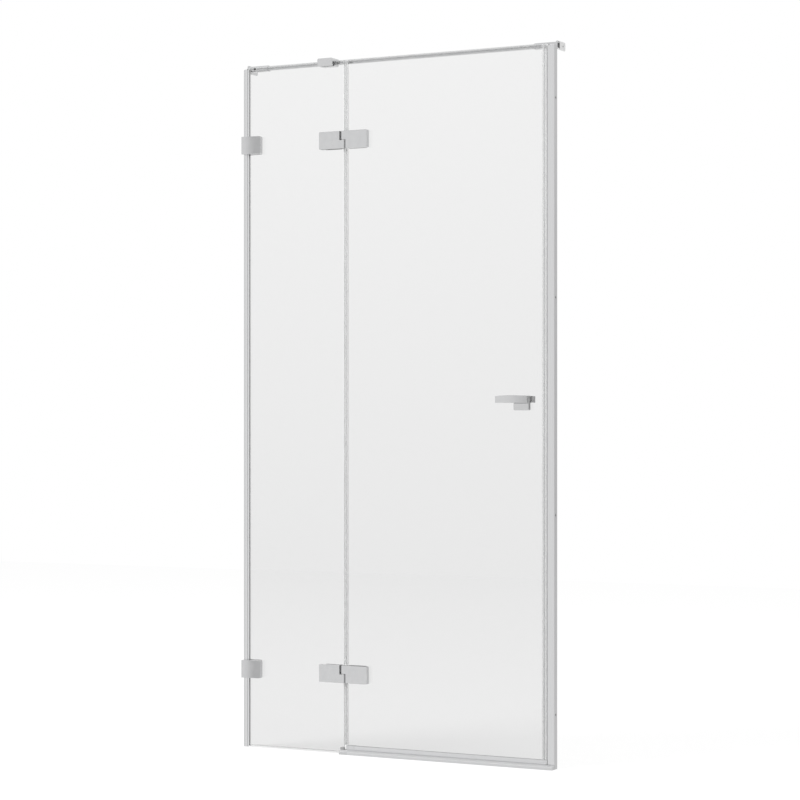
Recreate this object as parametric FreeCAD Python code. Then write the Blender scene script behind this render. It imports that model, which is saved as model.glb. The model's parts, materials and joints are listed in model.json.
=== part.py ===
import FreeCAD, Part
import math
import os

# A glass shower door for a niche between two walls: a fixed side pane on the left, a hinged door that
# opens outwards on the right, wall profiles, a support bar at the top, a sill and a bar handle.
# X runs from the left wall to the right wall, -Y faces the bathroom, +Y the shower, +Z is up.
# The origin is on the floor, half way between the walls, in the middle of the glass. Sizes are in mm.

Vector = FreeCAD.Vector

# Overall sizes
opening_width = 1000.0  # wall face to wall face
overall_height = 2000.0  # floor to the top of the glass
glass_thickness = 8.0
glass_edge_bevel = 0.8
pivot_from_wall = 338.0  # left wall to the hinge axis
glass_joint_gap = 8.0  # between the two panes
door_edge_from_wall = 34.0  # right wall to the free edge of the door glass
door_glass_lift = 18.5  # floor to the door glass
lower_fitting_height = 230.0  # floor to the middle of the lower hinge and the lower wall clamp
upper_fitting_drop = 230.0  # top of the glass to the middle of the upper hinge and the upper wall clamp

# Clearances and working values
overrun = 2.0  # how far every cut runs past the solid
fit_clearance = 0.15  # around bolts, collars and the support bar
run_clearance = 0.05  # hinge pin in its bush
seat_clearance = 0.02  # pin and bush in the leaves that hold them
match_tolerance = 0.01  # for picking edges by their place
pad_thickness = 1.0  # soft pads between metal and glass
fastener_sides = 8  # flat sides that stand for the round of every small fastener and its hole
bulb_sides = 8  # flat sides of the bulb in the joint seal

# Wall channels
channel_depth = 12.0  # out from the wall
channel_width = 20.0
channel_web = 2.0
channel_leg = 1.5
channel_groove_from_wall = 5.0  # middle of the line along the front of the left channel
channel_groove_width = 1.6
channel_groove_depth = 0.7
channel_top_drop = 4.0  # top of the channel caps below the top of the glass
wall_screw_radius = 2.6
wall_screw_end_gap = 150.0  # outer wall screw holes from the floor and from the top of the glass
wall_screw_from_fitting = 470.0  # inner wall screw holes above the lower clamp and below the upper one

# Profiles nested in the wall channels
nest_clearance = 0.3
nest_leg = 1.5
glazing_reach = 16.5  # wall to the lip of the glazing profile
glazing_web_from_wall = 4.0
glazing_web = 1.5
glass_edge_gap = 0.5  # glass edge to the web behind it
gasket_lip = 1.4  # how far the front glazing gasket shows beside its profile
gasket_tip = 0.6
closing_reach = 21.0  # wall to the face of the closing profile
closing_web = 2.6
closing_tail_from_wall = 4.0
lock_screw_radius = 1.75
lock_head_radius = 3.2
lock_head_height = 1.2
lock_from_fitting = 170.0  # outer lock screws above the lower clamp and below the upper one
lock_socket_width = 2.0
lock_socket_depth = 0.8
cap_thickness = 2.0
cap_edge_bevel = 0.5
cap_spigot_length = 9.0
cap_glass_clearance = 0.4

# Closing seals with their magnets
seal_wall = 0.8
magnet_clearance = 0.1
closing_strip_width = 8.0
closing_strip_proud = 1.6
closing_groove_depth = 1.5
closing_magnet_width = 5.0
closing_magnet_depth = 1.7
magnet_gap = 0.8  # between the two closing seals
door_seal_grip = 6.0  # legs along the glass
door_seal_width = 10.0
door_magnet_width = 6.0
door_magnet_depth = 2.2

# Seal in the joint between the panes
joint_seal_grip = 5.5
joint_seal_leg = 0.8
joint_bulb_clearance = 0.5  # bulb to the fixed pane
joint_seal_hinge_gap = 1.5  # above and below each hinge
joint_seal_rail_gap = 1.0

# Hinges
hinge_leaf_length = 79.0  # from the axis
hinge_height = 50.5
hinge_body_depth = 13.0
hinge_fixed_gap = 11.0  # from the axis to the fixed leaf's plate
hinge_door_gap = 8.0  # from the axis to the door leaf's plate
hinge_corner_radius = 3.0
hinge_edge_bevel = 0.8
knuckle_clearance = 0.5  # fixed leaf's knuckle to the door leaf's plate
knuckle_gap = 1.1
knuckle_roof = 2.2
pin_radius = 3.0
pin_end_gap = 0.8
bush_wall = 1.0
washer_thickness = 0.8
washer_margin = 0.8
back_plate_thickness = 5.0
back_plate_corner_bevel = 3.0
back_plate_edge_bevel = 0.6
back_plate_shortfall = 10.0  # how far every back plate stops short of its front plate's end

# Bolts through the glass
bolt_radius = 3.0
bolt_head_radius = 5.6
bolt_head_depth = 2.8
bolt_socket_width = 4.0
bolt_socket_depth = 2.0
bolt_grip = 9.0  # thread in the front plate
bolt_end_gap = 0.8
bolt_spread = 26.0
hinge_bolt_offset = 46.0  # from the axis
glass_hole_radius = 6.0

# Wall clamps
clamp_length = 61.0
clamp_height = 52.0
clamp_wall_depth = 19.6  # out from its pad on the glass, at the wall
clamp_tip_depth = 11.8  # and at its far end
clamp_bow_share = 0.25  # how much of that fall lies in the half next to the wall
clamp_back_depth = 9.0
clamp_corner_radius = 5.0
clamp_pad_inset = 0.8
clamp_profile_gap = 0.4
clamp_bolt_from_wall = 36.0

# Strip under the fixed pane
strip_lift = 4.0  # floor to the glass
strip_leg_height = 2.5
strip_leg = 1.0
strip_end_gap = 0.6

# Support bar
bar_size = 13.0
bar_wall = 1.5
bar_corner_bevel = 1.0
bar_behind_glass = 20.0  # middle of the glass to the middle of the bar
bar_drop = 2.0  # top of the glass to the middle of the bar
bar_end_gap = 6.0  # wall to the end of the bar
bar_plug_length = 10.0
bar_plug_flange = 1.2
sleeve_size = 17.0
sleeve_length = 70.0
sleeve_corner_bevel = 1.2
bracket_thickness = 4.5
bracket_height = 23.5
bracket_front = 9.4  # middle of the bar to the bracket's front edge
bracket_tail = 46.0  # middle of the bar to the bracket's back edge
bracket_corner_bevel = 3.0
bracket_edge_bevel = 0.8
bracket_screw_behind_bar = 30.0
bracket_screw_radius = 2.75
bracket_pocket_width = 15.0
bracket_pocket_height = 19.0
bracket_pocket_depth = 2.5
grub_radius = 2.0
grub_socket_width = 2.0
grub_socket_depth = 1.0
sleeve_screw_from_wall = 26.5
sleeve_screw_radius = 3.6
sleeve_screw_recess = 0.5
sleeve_socket_width = 3.0
sleeve_socket_depth = 0.9

# Saddle clamp that ties the fixed pane to the bar
saddle_from_joint = 38.0  # hinge axis to its near end
saddle_length = 50.0
saddle_height = 23.0
saddle_top_rise = 10.0  # above the glass
saddle_lip = 7.0
saddle_back_wall = 3.4
saddle_liner = 1.0
saddle_corner_radius = 4.0
saddle_edge_bevel = 0.8
saddle_grub_spread = 26.0

# Sill and its left end
sill_front = 26.0  # out from the middle of the glass
sill_back = 10.0
sill_height = 12.0
sill_front_height = 7.5  # where the slope along the front begins
sill_slope_depth = 10.0  # from the front to the flat top
sill_edge_radius = 1.5
sill_profile_gap = 0.5
sill_cap_length = 26.0
sill_cap_lap = 4.0  # past the edge of the fixed pane
sill_glass_gap = 1.0
stop_length = 12.0
stop_height = 7.5
stop_depth = 9.0
stop_edge_radius = 2.5
stop_past_axis = 2.0

# Drip rail under the door
rail_wall = 2.0
rail_lift = 13.5
rail_height = 10.5
rail_glass_clearance = 0.1
rail_edge_bevel = 0.5
rail_block_length = 27.0
rail_block_skin = 0.5  # how far the end block stands proud of the rail
rail_block_from_edge = 1.0  # glass edge to the end of the block
fin_slot_width = 3.0
fin_slot_depth = 3.0
fin_blade = 1.4
fin_sill_gap = 0.5

# Handle
handle_from_edge = 40.0  # door glass edge to the right end of the handle
handle_base_width = 46.0
handle_base_height = 42.0
handle_base_depth = 13.0
handle_bar_length = 97.0
handle_bar_height = 21.0
handle_bar_depth = 14.0
handle_bar_crown = 2.4  # bow of the top
handle_bar_bow = 1.8  # bow of the face
handle_top_height = 1031.0
handle_corner_bevel = 1.5
handle_groove_height = 2.0  # shadow groove in the block under the bar
handle_groove_depth = 3.0
handle_bolt_spread = 26.0
handle_bolt_radius = 2.5
handle_bolt_head_radius = 4.5
handle_bolt_head_depth = 4.6
handle_bolt_grip = 9.0
handle_screw_radius = 2.0
handle_screw_head_radius = 3.8
handle_screw_head_depth = 1.9
handle_screw_grip = 8.0
handle_socket_width = 2.5
handle_socket_depth = 1.2

# Planes and places worked out from the sizes above
left_wall = -opening_width / 2
right_wall = opening_width / 2
glass_front = -glass_thickness / 2
glass_back = glass_thickness / 2
pad_front = glass_front - pad_thickness
pad_back = glass_back + pad_thickness
pivot_x = left_wall + pivot_from_wall
hinge_front = pad_front - hinge_body_depth
pivot_y = (hinge_front + pad_front) / 2
fitting_heights = (lower_fitting_height, overall_height - upper_fitting_drop)
knuckle_radius = hinge_door_gap - knuckle_clearance
channel_top = overall_height - channel_top_drop
profile_top = channel_top - cap_thickness
nest_half = channel_width / 2 - channel_leg - nest_clearance
nest_inside = nest_half - nest_leg
fixed_glass_left = left_wall + glazing_web_from_wall + glazing_web + glass_edge_gap
fixed_glass_right = pivot_x - glass_joint_gap / 2
door_glass_left = pivot_x + glass_joint_gap / 2
door_glass_right = right_wall - door_edge_from_wall
closing_face = right_wall - closing_reach
bar_height = overall_height - bar_drop
handle_right = door_glass_right - handle_from_edge
handle_middle = handle_right - handle_base_width / 2
handle_bar_middle = handle_top_height - handle_bar_height / 2


def block(x0, x1, y0, y1, z0, z1):
    """A box between two corners."""
    return Part.makeBox(x1 - x0, y1 - y0, z1 - z0, Vector(x0, y0, z0))


def along_x(radius, y, z, x0, x1):
    """A round bar along X."""
    return Part.makeCylinder(radius, x1 - x0, Vector(x0, y, z), Vector(1, 0, 0))


def along_z(radius, x, y, z0, z1):
    """A round bar along Z."""
    return Part.makeCylinder(radius, z1 - z0, Vector(x, y, z0))


def prism(sides, reach, start, direction, length):
    """A straight bar with flat sides, its corners at this reach from its axis."""
    turns = [2 * math.pi * i / sides for i in range(sides)]
    corners = [Vector(reach * math.cos(turn), reach * math.sin(turn), 0) for turn in turns]
    solid = Part.Face(Part.makePolygon(corners + corners[:1])).extrude(Vector(0, 0, length))
    solid.Placement = FreeCAD.Placement(start, FreeCAD.Rotation(Vector(0, 0, 1), direction))
    return solid


def hexagon(width, start, direction, depth):
    """A hexagon socket with this width across its flats."""
    return prism(6, width / math.sqrt(3), start, direction, depth)


def stud_y(radius, x, z, y0, y1):
    """A fastener's shank, head or hole along Y."""
    return prism(fastener_sides, radius, Vector(x, y0, z), Vector(0, 1, 0), y1 - y0)


def stud_z(radius, x, y, z0, z1):
    """A fastener's shank or hole along Z."""
    return prism(fastener_sides, radius, Vector(x, y, z0), Vector(0, 0, 1), z1 - z0)


def column(points, z0, z1):
    """A straight profile along Z from the points of its outline in X and Y."""
    corners = [Vector(x, y, z0) for x, y in points]
    return Part.Face(Part.makePolygon(corners + corners[:1])).extrude(Vector(0, 0, z1 - z0))


def runner(points, x0, x1):
    """A straight profile along X from the points of its outline in Y and Z."""
    corners = [Vector(x0, y, z) for y, z in points]
    return Part.Face(Part.makePolygon(corners + corners[:1])).extrude(Vector(x1 - x0, 0, 0))


def limits(edge, axis):
    """Lowest and highest place of an edge along X, Y or Z (0, 1 or 2)."""
    box = edge.BoundBox
    return ((box.XMin, box.XMax), (box.YMin, box.YMax), (box.ZMin, box.ZMax))[axis]


def lies_at(edge, axis, place):
    """True for an edge that lies in the plane at this place on an axis."""
    low, high = limits(edge, axis)
    return abs(low - place) < match_tolerance and abs(high - place) < match_tolerance


def bevel_face(solid, axis, place, size):
    """Bevels every edge that lies in one flat face."""
    return solid.makeChamfer(size, [edge for edge in solid.Edges if lies_at(edge, axis, place)])


def corner_edges(solid, places, axes):
    """The straight edges at these pairs of places on two axes."""
    return [
        edge for edge in solid.Edges
        if any(lies_at(edge, axes[0], first) and lies_at(edge, axes[1], second) for first, second in places)
    ]


def round_corners(solid, places, axes, radius):
    """Rounds the straight edges at these pairs of places on two axes."""
    return solid.makeFillet(radius, corner_edges(solid, places, axes))


def bevel_corners(solid, places, axes, size):
    """Bevels the straight edges at these pairs of places on two axes."""
    return solid.makeChamfer(size, corner_edges(solid, places, axes))


def group(solids):
    """Several separate solids that share one node."""
    return Part.makeCompound(solids)


def headed(x, z, head, tip, shank_radius, head_radius, head_depth):
    """A head and a shank along Y, from the head's face to the tip: for a screw or its counterbored hole."""
    way = 1 if tip > head else -1
    under = head + way * head_depth
    top = stud_y(head_radius, x, z, min(head, under), max(head, under))
    shank = stud_y(shank_radius, x, z, min(head, tip), max(head, tip))
    return top.fuse(shank).removeSplitter()


def headed_screw(x, z, head, tip, shank_radius, head_radius, head_depth, socket_width, socket_depth):
    """A screw along Y with a flat head and a hexagon socket."""
    way = 1 if tip > head else -1
    socket = hexagon(socket_width, Vector(x, head, z), Vector(0, way, 0), socket_depth)
    return headed(x, z, head, tip, shank_radius, head_radius, head_depth).cut(socket)


def grub_screw(x, y, z0, z1):
    """A grub screw along Z with its socket underneath."""
    socket = hexagon(grub_socket_width, Vector(x, y, z0), Vector(0, 0, 1), grub_socket_depth)
    return stud_z(grub_radius, x, y, z0, z1).cut(socket)


def bolt_rows(x, heights):
    """Places of the bolt pairs beside one line, one pair at each height."""
    return [(x, height + side * bolt_spread / 2) for height in heights for side in (-1, 1)]


# Wall channels and the profiles nested in them

def channel_groove():
    """Points of the groove along the front of the left channel."""
    front = -channel_width / 2
    middle = left_wall + channel_groove_from_wall
    half = channel_groove_width / 2
    return [(middle - half, front), (middle, front + channel_groove_depth), (middle + half, front)]


def wall_channel(wall, way, groove):
    """A U profile that opens away from the wall, with screw holes in its web."""
    half = channel_width / 2
    outer = [(wall, -half)] + groove + [
        (wall + way * channel_depth, -half),
        (wall + way * channel_depth, -half + channel_leg), (wall + way * channel_web, -half + channel_leg),
        (wall + way * channel_web, half - channel_leg), (wall + way * channel_depth, half - channel_leg),
        (wall + way * channel_depth, half), (wall, half),
    ]
    channel = column(outer, 0, profile_top)
    holes = []
    ends = sorted((wall - way * overrun, wall + way * (channel_web + overrun)))
    for height in wall_screw_heights():
        holes.append(along_x(wall_screw_radius, 0, height, ends[0], ends[1]))
    for place in lock_heights():
        holes.append(lock_hole(wall + way * lock_from_wall(), place))
    return channel.cut(holes)


def wall_screw_heights():
    """Heights of the wall screw holes in a channel."""
    low, high = fitting_heights
    inner = (low + wall_screw_from_fitting, high - wall_screw_from_fitting)
    return (wall_screw_end_gap,) + inner + (overall_height - wall_screw_end_gap,)


def lock_heights():
    """Heights of the screws that lock a nested profile in its channel."""
    low, high = fitting_heights
    return low + lock_from_fitting, (low + high) / 2, high - lock_from_fitting


def lock_from_wall():
    """Wall to the line of lock screws, half way along the channel's free leg."""
    return (channel_web + channel_depth) / 2


def lock_hole(x, z):
    """The hole for one lock screw, through the shower-side legs of both profiles."""
    return stud_y(lock_screw_radius + fit_clearance, x, z, nest_inside - overrun, channel_width / 2 + overrun)


def lock_screw(x, z):
    """A low-headed screw from the shower side."""
    head_face = channel_width / 2 + lock_head_height
    shank = stud_y(lock_screw_radius, x, z, nest_inside, channel_width / 2)
    head = stud_y(lock_head_radius, x, z, channel_width / 2, head_face)
    socket = hexagon(lock_socket_width, Vector(x, head_face, z), Vector(0, -1, 0), lock_socket_depth)
    return shank.fuse(head).removeSplitter().cut(socket)


def lock_screws():
    """The lock screws of both channels."""
    lines = (left_wall + lock_from_wall(), right_wall - lock_from_wall())
    return group([lock_screw(x, z) for x in lines for z in lock_heights()])


def glazing_profile():
    """The U profile that holds the fixed pane, nested in the left channel."""
    back = left_wall + glazing_web_from_wall
    web = back + glazing_web
    lip = left_wall + glazing_reach
    outer = [
        (back, -nest_half), (lip, -nest_half), (lip, -nest_inside), (web, -nest_inside),
        (web, nest_inside), (lip, nest_inside), (lip, nest_half), (back, nest_half),
    ]
    profile = column(outer, 0, profile_top)
    return profile.cut([lock_hole(left_wall + lock_from_wall(), z) for z in lock_heights()])


def glazing_gaskets():
    """Two soft wedges between the glazing profile and the fixed pane; the front one has a lip."""
    root = fixed_glass_left
    lip = left_wall + glazing_reach
    front = [
        (root, glass_front), (root, -nest_inside), (lip, -nest_inside),
        (lip + gasket_lip, glass_front - gasket_tip), (lip + gasket_lip, glass_front),
    ]
    back = [(root, glass_back), (root, nest_inside), (lip, nest_inside), (lip, glass_back)]
    low = strip_lift + strip_leg_height
    return group([column(wedge, low, profile_top) for wedge in (front, back)])


def left_profile_cap():
    """Cap on the left channel beside the glass, with a spigot between the two webs."""
    half = channel_width / 2
    right = fixed_glass_left - cap_glass_clearance
    plate = block(left_wall, right, -half, half, profile_top, channel_top)
    plate = bevel_face(plate, 2, channel_top, cap_edge_bevel)
    spigot = block(
        left_wall + channel_web + nest_clearance, left_wall + glazing_web_from_wall - nest_clearance,
        -nest_inside, nest_inside, profile_top - cap_spigot_length, profile_top,
    )
    return plate.fuse(spigot).removeSplitter()


def closing_profile():
    """The profile the door closes against, nested in the right channel, with a groove for its seal."""
    tail = right_wall - closing_tail_from_wall
    web = closing_face + closing_web
    groove = closing_strip_width / 2 + nest_clearance
    floor = closing_face + closing_groove_depth
    outer = [
        (closing_face, -nest_half), (tail, -nest_half), (tail, -nest_inside), (web, -nest_inside),
        (web, nest_inside), (tail, nest_inside), (tail, nest_half), (closing_face, nest_half),
        (closing_face, groove), (floor, groove), (floor, -groove), (closing_face, -groove),
    ]
    profile = column(outer, 0, profile_top)
    return profile.cut([lock_hole(right_wall - lock_from_wall(), z) for z in lock_heights()])


def right_profile_cap():
    """Cap over the right channel and the closing profile."""
    half = channel_width / 2
    plate = block(closing_face, right_wall, -half, half, profile_top, channel_top)
    plate = bevel_face(plate, 2, channel_top, cap_edge_bevel)
    spigot = block(
        closing_face + closing_web + nest_clearance, right_wall - closing_tail_from_wall,
        -nest_inside + nest_clearance, nest_inside - nest_clearance,
        profile_top - cap_spigot_length, profile_top,
    )
    return plate.fuse(spigot).removeSplitter()


def closing_strip():
    """The seal strip in the closing profile, hollow for its magnet."""
    half = closing_strip_width / 2
    face = closing_face - closing_strip_proud
    strip = block(face, closing_face + closing_groove_depth, -half, half, sill_height, profile_top)
    pocket = closing_magnet_width / 2 + magnet_clearance
    hollow = block(
        face + seal_wall, face + seal_wall + closing_magnet_depth + magnet_clearance,
        -pocket, pocket, sill_height - overrun, profile_top + overrun,
    )
    return strip.cut(hollow)


def closing_magnet():
    """The magnet band inside the closing strip."""
    left = closing_face - closing_strip_proud + seal_wall
    half = closing_magnet_width / 2
    return block(left, left + closing_magnet_depth, -half, half, sill_height, profile_top)


# Glass panes

def pane(left, right, bottom, holes):
    """A pane with bevelled edges, drilled at these places."""
    glass = block(left, right, glass_front, glass_back, bottom, overall_height)
    faces = [edge for edge in glass.Edges if lies_at(edge, 1, glass_front) or lies_at(edge, 1, glass_back)]
    glass = glass.makeChamfer(glass_edge_bevel, faces)
    return glass.cut([
        stud_y(glass_hole_radius, x, z, glass_front - overrun, glass_back + overrun) for x, z in holes
    ])


def fixed_glass():
    """The fixed pane, drilled for the wall clamps and the hinges."""
    places = bolt_rows(left_wall + clamp_bolt_from_wall, fitting_heights)
    places += bolt_rows(pivot_x - hinge_bolt_offset, fitting_heights)
    return pane(fixed_glass_left, fixed_glass_right, strip_lift, places)


def door_glass():
    """The door pane, drilled for the hinges and the handle."""
    places = bolt_rows(pivot_x + hinge_bolt_offset, fitting_heights)
    places += [(x, handle_bar_middle) for x in handle_bolt_places()]
    return pane(door_glass_left, door_glass_right, door_glass_lift, places)


def bottom_strip():
    """The U strip that the fixed pane stands in."""
    left = left_wall + glazing_reach + gasket_lip + strip_end_gap
    right = fixed_glass_right - strip_end_gap
    out = glass_back + strip_leg
    top = strip_lift + strip_leg_height
    return runner([
        (-out, 0), (out, 0), (out, top), (glass_back, top), (glass_back, strip_lift),
        (glass_front, strip_lift), (glass_front, top), (-out, top),
    ], left, right)


# Pieces that clamp the glass

def front_pad(x0, x1, height, tall, bolt_x):
    """A soft pad on the front of the glass, with collars that line the bolt holes in the glass."""
    pad = block(x0, x1, pad_front, glass_front, height - tall / 2, height + tall / 2)
    places = bolt_rows(bolt_x, (height,))
    collars = [stud_y(glass_hole_radius - fit_clearance, x, z, glass_front, glass_back) for x, z in places]
    holes = [
        stud_y(bolt_radius + fit_clearance, x, z, pad_front - overrun, glass_back + overrun)
        for x, z in places
    ]
    return pad.fuse(collars).removeSplitter().cut(holes)


def back_pad(x0, x1, height, tall, bolt_x):
    """A soft pad on the back of the glass."""
    pad = block(x0, x1, glass_back, pad_back, height - tall / 2, height + tall / 2)
    holes = [
        stud_y(bolt_radius + fit_clearance, x, z, glass_back - overrun, pad_back + overrun)
        for x, z in bolt_rows(bolt_x, (height,))
    ]
    return pad.cut(holes)


def bolt_holes(bolt_x, height):
    """Blind holes for a pair of bolts in a front plate."""
    return [
        stud_y(bolt_radius + fit_clearance, x, z, pad_front - bolt_grip - bolt_end_gap, pad_front + overrun)
        for x, z in bolt_rows(bolt_x, (height,))
    ]


def clamp_bolts(bolt_x, plate_back):
    """Bolts from the shower side at both heights of a clamp or hinge."""
    return [
        headed_screw(x, z, plate_back, pad_front - bolt_grip, bolt_radius, bolt_head_radius,
                     bolt_head_depth, bolt_socket_width, bolt_socket_depth)
        for x, z in bolt_rows(bolt_x, fitting_heights)
    ]


def counterbores(bolt_x, height, plate_back):
    """Counterbored holes for a pair of bolts in a back plate."""
    return [
        headed(x, z, plate_back, pad_back - overrun, bolt_radius + fit_clearance,
               bolt_head_radius + fit_clearance, bolt_head_depth)
        for x, z in bolt_rows(bolt_x, (height,))
    ]


# Wall clamps

clamp_right = left_wall + clamp_length
clamp_back_right = clamp_right - back_plate_shortfall
clamp_seat = left_wall + glazing_reach + gasket_lip + clamp_profile_gap
clamp_bolt_x = left_wall + clamp_bolt_from_wall
clamp_back_face = pad_back + clamp_back_depth


def wall_clamp_plate(height):
    """The bowed front plate, notched over the wall profiles."""
    root = pad_front - clamp_wall_depth
    tip = pad_front - clamp_tip_depth
    middle = root + (tip - root) * clamp_bow_share
    over = -channel_width / 2 - clamp_profile_gap
    bow = Part.Arc(
        Vector(left_wall, root, 0), Vector((left_wall + clamp_right) / 2, middle, 0),
        Vector(clamp_right, tip, 0),
    ).toShape()
    rest = Part.makePolygon([
        Vector(clamp_right, tip, 0), Vector(clamp_right, pad_front, 0), Vector(clamp_seat, pad_front, 0),
        Vector(clamp_seat, over, 0), Vector(left_wall, over, 0), Vector(left_wall, root, 0),
    ])
    plate = Part.Face(Part.Wire([bow] + rest.Edges)).extrude(Vector(0, 0, clamp_height))
    plate.translate(Vector(0, 0, height - clamp_height / 2))
    ends = [(clamp_right, height - clamp_height / 2), (clamp_right, height + clamp_height / 2)]
    plate = round_corners(plate, ends, (0, 2), clamp_corner_radius)
    return plate.cut(bolt_holes(clamp_bolt_x, height))


def wall_clamp_back(height):
    """The back plate on the shower side, which reaches over the profiles to the wall."""
    over = channel_width / 2 + clamp_profile_gap
    plate = column([
        (clamp_seat, pad_back), (clamp_back_right, pad_back), (clamp_back_right, clamp_back_face),
        (left_wall, clamp_back_face), (left_wall, over), (clamp_seat, over),
    ], height - clamp_height / 2, height + clamp_height / 2)
    ends = [(clamp_back_right, height - clamp_height / 2), (clamp_back_right, height + clamp_height / 2)]
    plate = bevel_corners(plate, ends, (0, 2), back_plate_corner_bevel)
    plate = bevel_face(plate, 1, clamp_back_face, back_plate_edge_bevel)
    return plate.cut(counterbores(clamp_bolt_x, height, clamp_back_face))


def wall_clamp_pads():
    """Front and back pads of both wall clamps."""
    right = clamp_right - clamp_pad_inset
    back_right = clamp_back_right - clamp_pad_inset
    tall = clamp_height - 2 * clamp_corner_radius
    pads = [front_pad(clamp_seat, right, height, tall, clamp_bolt_x) for height in fitting_heights]
    pads += [back_pad(clamp_seat, back_right, height, tall, clamp_bolt_x) for height in fitting_heights]
    return group(pads)


# Hinges: the fixed leaf carries the lower knuckle, the door leaf the upper one

hinge_back_face = pad_back + back_plate_thickness


def leaf_gap(way):
    """Axis to a leaf's plate: way is -1 for the fixed leaf and 1 for the door leaf."""
    return hinge_fixed_gap if way < 0 else hinge_door_gap


def leaf_span(way):
    """Left and right end of a leaf's plate."""
    return sorted((pivot_x + way * leaf_gap(way), pivot_x + way * hinge_leaf_length))


def back_plate_span(way):
    """Left and right end of a hinge's back plate."""
    end = hinge_leaf_length - back_plate_shortfall
    return sorted((pivot_x + way * leaf_gap(way), pivot_x + way * end))


def knuckle_span(way, height):
    """Lower and upper end of a leaf's knuckle."""
    if way < 0:
        return height - hinge_height / 2, height - knuckle_gap / 2
    return height + knuckle_gap / 2, height + hinge_height / 2


def knuckle_bore(way, height, radius):
    """The blind bore in a knuckle, open towards the other one."""
    low, high = knuckle_span(way, height)
    if way < 0:
        return along_z(radius, pivot_x, pivot_y, low + knuckle_roof, high + overrun)
    return along_z(radius, pivot_x, pivot_y, low - overrun, high - knuckle_roof)


def hinge_leaf(way, height):
    """A front leaf: plate, bridge and knuckle, flush in front and behind."""
    left, right = leaf_span(way)
    low, high = height - hinge_height / 2, height + hinge_height / 2
    plate = block(left, right, hinge_front, pad_front, low, high)
    end = pivot_x + way * hinge_leaf_length
    plate = round_corners(plate, [(end, low), (end, high)], (0, 2), hinge_corner_radius)
    knuckle_low, knuckle_high = knuckle_span(way, height)
    barrel = along_z(knuckle_radius, pivot_x, pivot_y, knuckle_low, knuckle_high)
    near, far = sorted((pivot_x, pivot_x + way * leaf_gap(way)))
    barrel = barrel.common(block(
        pivot_x - knuckle_radius, pivot_x + knuckle_radius, hinge_front, pad_front,
        knuckle_low, knuckle_high,
    ))
    bridge = block(near, far, hinge_front, pad_front, knuckle_low, knuckle_high)
    leaf = plate.fuse([bridge, barrel]).removeSplitter()
    leaf = bevel_face(leaf, 1, hinge_front, hinge_edge_bevel)
    radius = pin_radius if way < 0 else pin_radius + run_clearance + bush_wall
    cuts = bolt_holes(pivot_x + way * hinge_bolt_offset, height)
    return leaf.cut(cuts + [knuckle_bore(way, height, radius + seat_clearance)])


def hinge_back_plate(way, height):
    """The clamping plate on the shower side."""
    left, right = back_plate_span(way)
    low, high = height - hinge_height / 2, height + hinge_height / 2
    plate = block(left, right, pad_back, hinge_back_face, low, high)
    corners = [(x, z) for x in (left, right) for z in (low, high)]
    plate = bevel_corners(plate, corners, (0, 2), back_plate_corner_bevel)
    plate = bevel_face(plate, 1, hinge_back_face, back_plate_edge_bevel)
    return plate.cut(counterbores(pivot_x + way * hinge_bolt_offset, height, hinge_back_face))


def hinge_pads(way):
    """Front and back pads of both hinges on one pane."""
    left, right = leaf_span(way)
    back_left, back_right = back_plate_span(way)
    inset = hinge_edge_bevel
    tall = hinge_height - 2 * hinge_corner_radius
    bolt_x = pivot_x + way * hinge_bolt_offset
    pads = []
    for height in fitting_heights:
        pads.append(front_pad(left + inset, right - inset, height, tall, bolt_x))
        pads.append(back_pad(back_left + inset, back_right - inset, height, tall, bolt_x))
    return group(pads)


def hinge_pins():
    """One pin per hinge, held in the fixed leaf's knuckle."""
    pins = []
    for height in fitting_heights:
        low = knuckle_span(-1, height)[0] + knuckle_roof
        high = knuckle_span(1, height)[1] - knuckle_roof - pin_end_gap
        pins.append(along_z(pin_radius, pivot_x, pivot_y, low, high))
    return group(pins)


def hinge_bushes():
    """The plastic bush in each door leaf's knuckle."""
    bushes = []
    for height in fitting_heights:
        low, high = knuckle_span(1, height)
        high -= knuckle_roof
        bush = along_z(pin_radius + run_clearance + bush_wall, pivot_x, pivot_y, low, high)
        bore = along_z(pin_radius + run_clearance, pivot_x, pivot_y, low - overrun, high + overrun)
        bushes.append(bush.cut(bore))
    return group(bushes)


def thrust_washers():
    """The washer that lies on each fixed knuckle."""
    washers = []
    for height in fitting_heights:
        low = knuckle_span(-1, height)[1]
        rim = min(knuckle_radius, hinge_body_depth / 2) - washer_margin
        washer = along_z(rim, pivot_x, pivot_y, low, low + washer_thickness)
        bore = along_z(
            pin_radius + run_clearance, pivot_x, pivot_y, low - overrun, low + washer_thickness + overrun
        )
        washers.append(washer.cut(bore))
    return group(washers)


# Seals on the door

def joint_seal():
    """The clear seal on the door's hinge edge, cut away around the hinges."""
    middle = (fixed_glass_right + joint_bulb_clearance + door_glass_left) / 2
    bulb = door_glass_left - middle
    grip = door_glass_left + joint_seal_grip
    out = glass_back + joint_seal_leg
    web = door_glass_left - joint_seal_leg
    lengths = []
    bottom = rail_lift + rail_height + rail_block_skin + joint_seal_rail_gap
    for height in fitting_heights + (overall_height + hinge_height / 2 + joint_seal_hinge_gap,):
        top = height - hinge_height / 2 - joint_seal_hinge_gap
        clip = column([
            (grip, -out), (web, -out), (web, out), (grip, out),
            (grip, glass_back), (door_glass_left, glass_back), (door_glass_left, glass_front),
            (grip, glass_front),
        ], bottom, top)
        foot, rise = Vector(middle, 0, bottom), Vector(0, 0, 1)
        tube = prism(bulb_sides, bulb, foot, rise, top - bottom)
        tube = tube.cut(block(web, grip, -out, out, bottom, top))
        bore = prism(bulb_sides, bulb - joint_seal_leg, foot, rise, top - bottom)
        bore = bore.common(block(left_wall, web, -out, out, bottom, top))
        lengths.append(clip.fuse(tube).removeSplitter().cut(bore))
        bottom = height + hinge_height / 2 + joint_seal_hinge_gap
    return group(lengths)


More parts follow.
